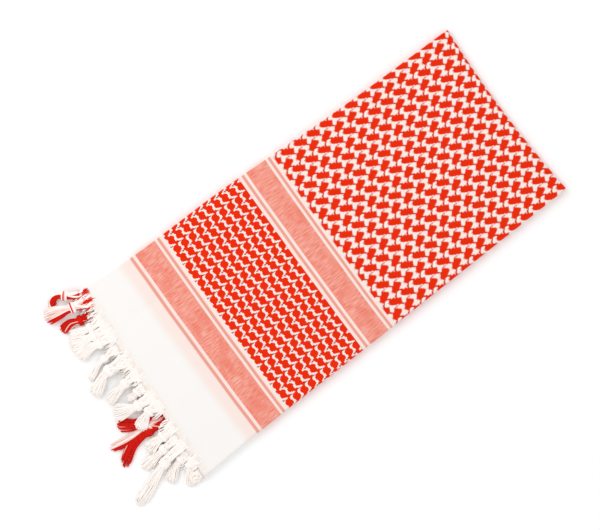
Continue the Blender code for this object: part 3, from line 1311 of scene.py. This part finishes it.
CREAM, RED, STRIPED = Yarn.CREAM, Yarn.RED, Yarn.STRIPED
TASSELS = (
    TasselRow(
        "tassel_01", STRIPED, 8, 3.0, 7, 126, 1.5, ((-12, 131), (-26, 141), (-36, 140), (-38, 132)), -0.3
    ),
    TasselRow("tassel_02", STRIPED, 8, 5.2, 9, 115, 1.9, ((-18, 119), (-34, 124), (-54, 129))),
    TasselRow("tassel_03", RED, 2, 2.0, 8, 100, 1.5, ((-20, 102), (-34, 106), (-47, 103))),
    TasselRow("tassel_04", CREAM, 8, 5.2, 8, 88.5, 1.3, ((-16, 88), (-30, 91), (-42, 95))),
    TasselRow("tassel_05", CREAM, 8, 5.6, 9, 76, 1.6, ((-18, 78), (-34, 81), (-50, 84))),
    TasselRow("tassel_06", CREAM, 8, 5.4, 9, 65, 1.7, ((-18, 67), (-34, 70), (-50, 70))),
    TasselRow("tassel_07", CREAM, 7, 2.4, 6, 51, 1.2, ((-18, 50), (-34, 48), (-44, 44), (-55, 39))),
    TasselRow("tassel_08", CREAM, 8, 5.4, 10, 34, 1.4, ((-22, 35), (-38, 34), (-52, 27), (-62, 23))),
    TasselRow("tassel_09", CREAM, 8, 5.4, 8, 12, 1.4, ((-22, 12), (-38, 9), (-53, 6))),
    TasselRow("tassel_10", CREAM, 7, 4.2, 8, -4, 1.2, ((-18, -5), (-25, -6), (-33, -5))),
    TasselRow("tassel_11", CREAM, 8, 7.0, 9, -18, 2.0, ((-25, -18), (-41, -14), (-56, -8))),
    TasselRow("tassel_12", CREAM, 8, 7.2, 9, -31, 1.5, ((-20, -31), (-31, -35), (-43, -42))),
    TasselRow("tassel_13", RED, 3, 1.9, 9.5, -51, 1.2, ((-26, -49), (-46, -49), (-64, -53), (-84, -66))),
    TasselRow("tassel_14", RED, 2, 2.0, 10, -34, 1.4, ((-24, -36), (-44, -33), (-61, -21))),
    TasselRow(
        "tassel_15", STRIPED, 3, 2.6, 7.5, -43, 1.3, ((-24, -43.5), (-44, -44), (-64, -43), (-84, -39)), 0.2
    ),
    TasselRow("tassel_16", CREAM, 8, 5.4, 9, -62, 1.6, ((-24, -64), (-38, -65), (-50, -67))),
    TasselRow("tassel_17", CREAM, 7, 2.6, 8, -74, 1.5, ((-26, -76), (-42, -78), (-54, -79), (-67, -81))),
    TasselRow(
        "tassel_18", CREAM, 8, 3.2, 9, -85, 1.4,
        ((-28, -87), (-45, -91), (-61, -97), (-79, -104), (-98, -110)),
    ),
    TasselRow("tassel_19", CREAM, 6, 2.4, 8, -96, 1.7, ((-24, -98), (-38, -103), (-51, -113))),
    TasselRow("tassel_20", CREAM, 8, 3.2, 7, -108, 2.0, ((-20, -110), (-26, -118), (-32, -131))),
    TasselRow("tassel_21", CREAM, 6, 2.6, 6, -123, 1.2, ((-18, -124), (-21, -128), (-23, -132))),
    TasselRow("tassel_22", CREAM, 4, 1.7, 8, 71, 1.3, ((-18, 72), (-33, 75), (-46, 78))),
    TasselRow("tassel_23", CREAM, 4, 1.7, 8, 31, 1.3, ((-20, 33), (-36, 32), (-50, 26))),
    TasselRow("tassel_24", CREAM, 4, 1.7, 8, 11, 1.3, ((-20, 11), (-34, 9), (-46, 7))),
    TasselRow("tassel_25", CREAM, 4, 1.7, 8, -64, 1.3, ((-24, -64), (-36, -66), (-47, -68))),
    TasselRow("tassel_26", CREAM, 3, 1.7, 7, -85, 1.3, ((-24, -86), (-32, -88), (-40, -90))),
    TasselRow("tassel_27", CREAM, 4, 1.7, 7, 115, 1.3, ((-16, 118), (-28, 121), (-40, 125))),
    TasselRow("tassel_28", CREAM, 4, 1.7, 7, 88, 1.3, ((-16, 87), (-28, 89), (-38, 91))),
)


def hem_shares(row: TasselRow) -> tuple[float, float]:
    """Work out how much of the fringed edge a tassel gathers.

    Args:
        row: The tassel's row.

    Returns:
        The reach on its folded side and on its open side, in millimetres.
    """
    level = [other.root for other in TASSELS if (other.ply >= 6) == (row.ply >= 6)]
    below = max((root for root in level if root < row.root), default=row.root - 10)
    above = min((root for root in level if root > row.root), default=row.root + 6)
    return min(11.0, 0.56 * (row.root - below)), min(11.0, 0.56 * (above - row.root))


@dataclass(frozen=True)
class BundleSection:
    """A tassel's half width, as a share of its own, and half thickness in mm, at one place along."""

    along: float
    half_width: float
    half_thickness: float


BUNDLE = (
    BundleSection(0.00, 1.80, 0.6),
    BundleSection(0.14, 1.60, 1.3),
    BundleSection(0.26, 1.22, 2.0),
    BundleSection(0.36, 1.38, 2.6),
    BundleSection(0.46, 1.05, 2.2),
    BundleSection(0.62, 1.22, 2.2),
    BundleSection(0.84, 1.34, 2.0),
    BundleSection(1.00, 1.28, 1.3),
)


@dataclass
class Tassel:
    """A bundle of warp ends: gathered at the cloth's edge, knotted, then loose and brushed out."""

    pad: PadShape
    row: TasselRow
    strand: float = 0.68
    sides: int = 6
    rings: int = 22
    shares: tuple[float, float] = (6.0, 6.0)
    knot: float = 0.37
    gather: float = 0.30
    inside: float = 5.0
    twist: float = 1.2
    sunk: float = 0.45
    fall_from: float = 0.10
    fall_over: float = 0.68
    short_ends: int = 16
    short_starts: tuple[float, float] = (1.5, 5.5)
    short_stops: tuple[float, float] = (10.0, 18.0)
    short_falls: tuple[float, float] = (2.0, 4.5)
    knot_dyes: tuple[float, ...] = (0.0, 0.35, 1.0, 0.0)
    knot_wraps: float = 1.6
    knot_spacing: float = 0.022
    stops: list[Vector] = field(default_factory=list)
    over: bool = False
    root_height: float = 0.0

    def __post_init__(self) -> None:
        """Work out the middle line: out of its ply's edge, then down to where its tip lies."""
        row, pad = self.row, self.pad
        self.over = row.ply == pad.plies
        self.root_height = pad.stack + 0.15 if self.over else (row.ply - 0.5) * pad.ply
        start = pad.hem(row.root) + (self.inside if self.over else 1.2)
        self.stops = [Vector((x, y, 0)) for x, y in ((start, row.root), *row.bends)]

    def height(self, share: float) -> float:
        """Return the middle line's height: level where it leaves the cloth, then down to the tip's."""
        fallen = eased((share - self.fall_from) / self.fall_over)
        return self.root_height + (self.row.tip - self.root_height) * fallen

    def middle(self, share: float) -> tuple[Vector, Vector]:
        """Work out the middle line at one place.

        Args:
            share: Share of the tassel's length.

        Returns:
            The point and its sideways direction.
        """
        ahead = smooth_route(self.stops, min(1.0, share + 0.02))
        behind = smooth_route(self.stops, max(0.0, share - 0.02))
        heading = ahead - behind
        sideways = Vector((-heading.y, heading.x, 0)).normalized()
        spot = smooth_route(self.stops, share)
        spot.z = self.height(share)
        return spot, sideways

    def half_size(self, share: float) -> tuple[float, float]:
        """Work out the bundle's size at one place.

        Args:
            share: Share of the tassel's length.

        Returns:
            The half width and half thickness, in millimetres.
        """
        wide = table_value(BUNDLE, "half_width", share) * self.row.width / 2
        flare = 1 + (self.row.flare - 1) * eased((share - self.knot) / (1 - self.knot))
        return wide * flare, table_value(BUNDLE, "half_thickness", share)

    def tube(
        self,
        block: Mesh,
        route: Callable[[float], Vector],
        radius: Callable[[float], float],
        rings: int,
        dye: float,
    ) -> None:
        """Add one strand to the tassel.

        Args:
            block: The tassel's mesh.
            route: The strand's middle line, in the hem's frame, from 0 to 1.
            radius: The strand's radius along it.
            rings: How many stretches it has.
            dye: How far it is dyed, from 0 to 1.
        """
        uv, dyed = block.loops.layers.uv[CLOTH_MAP], block.verts.layers.float[DYE]
        made = bmesh.ops.create_grid(block, x_segments=rings, y_segments=self.sides, size=0.5)["verts"]
        counts = {}
        for point in made:
            ring, side = (point.co.x + 0.5) * rings, (point.co.y + 0.5) * self.sides
            counts[point] = (round(ring), round(side))
        length = sum((route((i + 1) / rings) - route(i / rings)).length for i in range(rings))
        for face in {face for point in made for face in point.link_faces}:
            for loop in face.loops:
                ring, side = counts[loop.vert]
                loop[uv].uv = (ring / rings * length * MM, side / self.sides * MM)
        centres = [route(i / rings) for i in range(rings + 1)]
        for point, (ring, side) in counts.items():
            heading = (centres[min(ring + 1, rings)] - centres[max(ring - 1, 0)]).normalized()
            across = heading.cross(Vector((0, 0, 1)))
            across = across.normalized() if across.length > 0.05 else Vector((1, 0, 0))
            upward = across.cross(heading).normalized()
            angle = 2 * pi * side / self.sides
            size = radius(ring / rings)
            spot = centres[ring] + (across * cos(angle) + upward * sin(angle)) * size
            spot.z = max(spot.z, 0.05)
            point.co = self.pad.place(*spot)
            point[dyed] = dye

    def dye(self, side: float, pick: float) -> float:
        """Choose a strand's dye.

        Args:
            side: Where the strand lies across the bundle, -1 to 1.
            pick: A random pick, 0 to 1.

        Returns:
            How far it is dyed, 0 to 1.
        """
        if self.row.yarn is Yarn.RED:
            return 1.0 if pick < 0.86 else 0.35
        if self.row.yarn is Yarn.STRIPED:
            if side > self.row.red_from:
                return 1.0
            return 0.35 if pick < 0.45 else 0.0
        return 0.12 if pick < 0.12 else 0.0

    def build(self, material: Material) -> Piece:
        """Make the tassel.

        Args:
            material: Its finish.

        Returns:
            The piece.
        """
        draw = random.Random(self.row.node)
        block = bmesh.new()
        block.loops.layers.uv.new(CLOTH_MAP)
        block.verts.layers.float.new(DYE)
        wide, thick = self.half_size(0.95)
        count = min(60, max(28, round(1.4 * wide * thick / self.strand**2)))
        for number in range(count):
            self.strand_tube(block, number, count, draw)
        for number in range(self.short_ends):
            self.short_end(block, number, draw)
        self.knot_turns(block, draw)
        bmesh.ops.remove_doubles(block, verts=block.verts, dist=0.001 * MM)
        open_edges = [edge for edge in block.edges if edge.is_boundary]
        bmesh.ops.holes_fill(block, edges=open_edges, sides=0)
        bmesh.ops.recalc_face_normals(block, faces=block.faces)
        return finished(self.row.node.replace("tassel", "fringe_tassel"), block, material)

    def strand_tube(self, block: Mesh, number: int, count: int, draw: random.Random) -> None:
        """Add one of the tassel's warp ends, from the cloth's edge to its own cut end.

        Args:
            block: The tassel's mesh.
            number: The strand's number.
            count: How many strands the tassel has.
            draw: The tassel's random draws.
        """
        away = sqrt((number + 0.5) / count)
        start_angle = number * GOLDEN_ANGLE
        rank = 2 * ((number * 0.618034) % 1.0) - 1
        lateral = away * cos(start_angle + 2 * pi * self.twist * self.knot)
        end = 1.0 - 0.08 * draw.random() * (0.4 + away) - 0.10 * lateral**2
        phase, sway = draw.uniform(0, 2 * pi), draw.uniform(0.2, 0.7)
        curl = draw.uniform(-0.5, 0.5)
        inward = draw.uniform(-3.0, 5.0) if self.over else 0.0
        hem_line = Vector((HEM_SLANT, HEM_LENGTH, 0)).normalized()
        dye = self.dye(lateral, draw.random())

        def route(share: float) -> Vector:
            """Follow the strand's middle line.

            Args:
                share: Share of the strand's length.

            Returns:
                The point there.
            """
            at = share * end
            middle, sideways = self.middle(at)
            wide, thick = self.half_size(at)
            angle = start_angle + 2 * pi * self.twist * min(at, self.knot)
            offset = sideways * (away * cos(angle) * (wide - self.strand * 0.7))
            offset.z = away * sin(angle) * (thick - self.strand * 0.5)
            gathered = eased(at / self.gather)
            spread = hem_line * (rank * self.shares[rank > 0])
            spread.x += inward
            spread.z = 0.25 * sin(number * 2.3) - self.sunk * (1 - eased(at / 0.12))
            loose = eased((at - self.knot) / 0.4)
            wave = sin(phase + 9 * at) * sway * loose + curl * loose**2
            return middle + spread * (1 - gathered) + offset * gathered + sideways * wave

        def radius(share: float) -> float:
            """Return the strand's radius."""
            slim = 0.5 + 0.5 * eased(share / 0.22)
            return self.strand * slim * (1 - 0.35 * eased((share - 0.9) / 0.1))

        self.tube(block, route, radius, self.rings, dye)

    def short_end(self, block: Mesh, number: int, draw: random.Random) -> None:
        """Add a short warp end that fills the edge between this tassel and its neighbours.

        Args:
            block: The tassel's mesh.
            number: The end's number.
            draw: The tassel's random draws.
        """
        rank = 2 * (number + 0.5) / self.short_ends - 1
        y = self.row.root + 1.1 * rank * self.shares[rank > 0]
        start = self.pad.hem(y) + (draw.uniform(*self.short_starts) if self.over else 0.8)
        stop = self.pad.hem(y) - draw.uniform(*self.short_stops) + 3.0 * abs(rank)
        lean, phase = draw.uniform(-2.5, 2.5), draw.uniform(0, 2 * pi)
        low = self.root_height - draw.uniform(*self.short_falls) * self.root_height / self.pad.stack
        red = self.row.yarn is not Yarn.CREAM and draw.random() < 0.45

        def route(share: float) -> Vector:
            """Follow the end's middle line.

            Args:
                share: Share of the end's length.

            Returns:
                The point there.
            """
            fall = eased((share - 0.3) / 0.7)
            sway = 0.5 * sin(phase + 7 * share) + lean * share**2
            height = self.root_height + 0.1 + (low - self.root_height) * fall
            height -= self.sunk * (1 - eased(share / 0.25))
            return Vector((start + (stop - start) * share, y + sway, height))

        def radius(share: float) -> float:
            """Return the end's radius."""
            return self.strand * (0.6 + 0.6 * eased(share / 0.3) - 0.4 * share**3)

        self.tube(block, route, radius, 9, 1.0 if red else 0.0)

    def knot_turns(self, block: Mesh, draw: random.Random) -> None:
        """Add the strands that wrap round the bundle as its knot.

        Args:
            block: The tassel's mesh.
            draw: The tassel's random draws.
        """
        for number, mixed in enumerate(self.knot_dyes):
            lead = draw.uniform(0, 2 * pi)
            dye = {Yarn.RED: 1.0, Yarn.STRIPED: mixed, Yarn.CREAM: 0.0}[self.row.yarn]

            def route(share: float) -> Vector:
                """Follow the middle line of one wrapping strand.

                Args:
                    share: Share of the wrapping strand's length.

                Returns:
                    The point there.
                """
                at = self.knot + self.knot_spacing * (number - 1.5) + 0.03 * (share - 0.5)
                middle, sideways = self.middle(at)
                wide, thick = self.half_size(at)
                angle = lead + 2 * pi * self.knot_wraps * share
                ends = eased(share / 0.12) * eased((1 - share) / 0.12)
                offset = sideways * (cos(angle) * (wide * 0.85 + 0.9 * ends))
                offset.z = sin(angle) * (thick * 0.8 + 0.7 * ends)
                return middle + offset

            self.tube(block, route, lambda share: self.strand * 1.4, 30, dye)


# ---- the room


@dataclass
class Studio:
    """A pale floor, soft light from all round and a camera straight above."""

    pad: PadShape
    view_centre: tuple[float, float] = (222.7, 0.3)
    view_width: float = 0.699
    roll: float = 36.8
    focal: float = 135.0
    floor_size: float = 8.0
    ambient: float = 0.91
    key_power: float = 8.6
    key_size: float = 1.2
    key_place: tuple[float, float, float] = (-0.35, 1.15, 1.35)
    floor_tone: Colour = (0.99, 0.99, 0.99)

    def build(self) -> None:
        """Make the floor, the lights and the camera."""
        self.floor()
        self.lights()
        self.camera()

    def floor(self) -> None:
        """Make the floor just under the cloth."""
        block = bmesh.new()
        bmesh.ops.create_grid(block, x_segments=1, y_segments=1, size=self.floor_size / 2)
        bmesh.ops.translate(block, vec=(0, 0, -0.2 * MM), verts=block.verts)
        paint = bpy.data.materials.new("pale_floor")
        paint.use_nodes = True
        shader = paint.node_tree.nodes["Principled BSDF"]
        shader.inputs["Base Color"].default_value = (*self.floor_tone, 1.0)
        shader.inputs["Roughness"].default_value = 0.9
        shader.inputs["Specular IOR Level"].default_value = 0.1
        finished("floor", block, paint)

    def lights(self) -> None:
        """Make the surrounding light and one broad lamp."""
        world = bpy.data.worlds.new("studio")
        world.use_nodes = True
        back = world.node_tree.nodes["Background"]
        back.inputs["Color"].default_value = (1.0, 1.0, 1.0, 1.0)
        back.inputs["Strength"].default_value = self.ambient
        bpy.context.scene.world = world
        lamp = bpy.data.lights.new("broad_lamp", "AREA")
        lamp.shape = "SQUARE"
        lamp.size = self.key_size
        lamp.energy = self.key_power
        holder = bpy.data.objects.new("broad_lamp", lamp)
        holder.location = self.key_place
        holder.rotation_euler = (-holder.location).to_track_quat("-Z", "Y").to_euler()
        bpy.context.scene.collection.objects.link(holder)

    def camera(self) -> None:
        """Make the camera."""
        lens = bpy.data.cameras.new("overhead")
        lens.lens = self.focal
        lens.clip_end = 20.0
        camera = bpy.data.objects.new("overhead", lens)
        spot = self.pad.place(*self.view_centre, self.pad.stack)
        camera.location = (spot.x, spot.y, spot.z + self.view_width * self.focal / lens.sensor_width)
        camera.rotation_euler = (0, 0, radians(-self.roll))
        bpy.context.scene.collection.objects.link(camera)
        bpy.context.scene.camera = camera
        bpy.context.scene.view_settings.view_transform = "Standard"


def main() -> None:
    """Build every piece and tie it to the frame."""
    logging.basicConfig(level=logging.INFO, format="%(message)s")
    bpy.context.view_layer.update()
    pad = PadShape()
    groups = {
        "hooks": chart_group("hook repeat", HOOKS),
        "pebbles": chart_group("pebble repeat", PEBBLES),
        "threads": thread_group(),
        "yarn": yarn_group(),
        "bands": WovenBands().group(),
    }
    Studio(pad).build()
    cotton = PatternedCotton("patterned_cotton").build(groups, pad.crest)
    inner = PatternedCotton("inner_cotton", bump=0.35).build(groups, pad.crest)
    yarns = {yarn: TasselYarn(yarn.value).build(groups) for yarn in Yarn}

    cloth = OuterCloth(pad).build(cotton)
    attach(cloth, "root")
    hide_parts("outer_ply_top", "outer_ply_under")
    LOG.info("%s: %d faces", cloth.name, len(cloth.data.polygons))

    plies = HiddenPlies(pad).build(inner)
    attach(plies, "root")
    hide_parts("hidden_plies")
    LOG.info("%s: %d faces", plies.name, len(plies.data.polygons))

    for row in TASSELS:
        tassel = Tassel(pad, row, shares=hem_shares(row)).build(yarns[row.yarn])
        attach(tassel, "root")
        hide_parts(row.node)
        LOG.info("%s: %d faces", tassel.name, len(tassel.data.polygons))


if __name__ == "__main__":
    main()
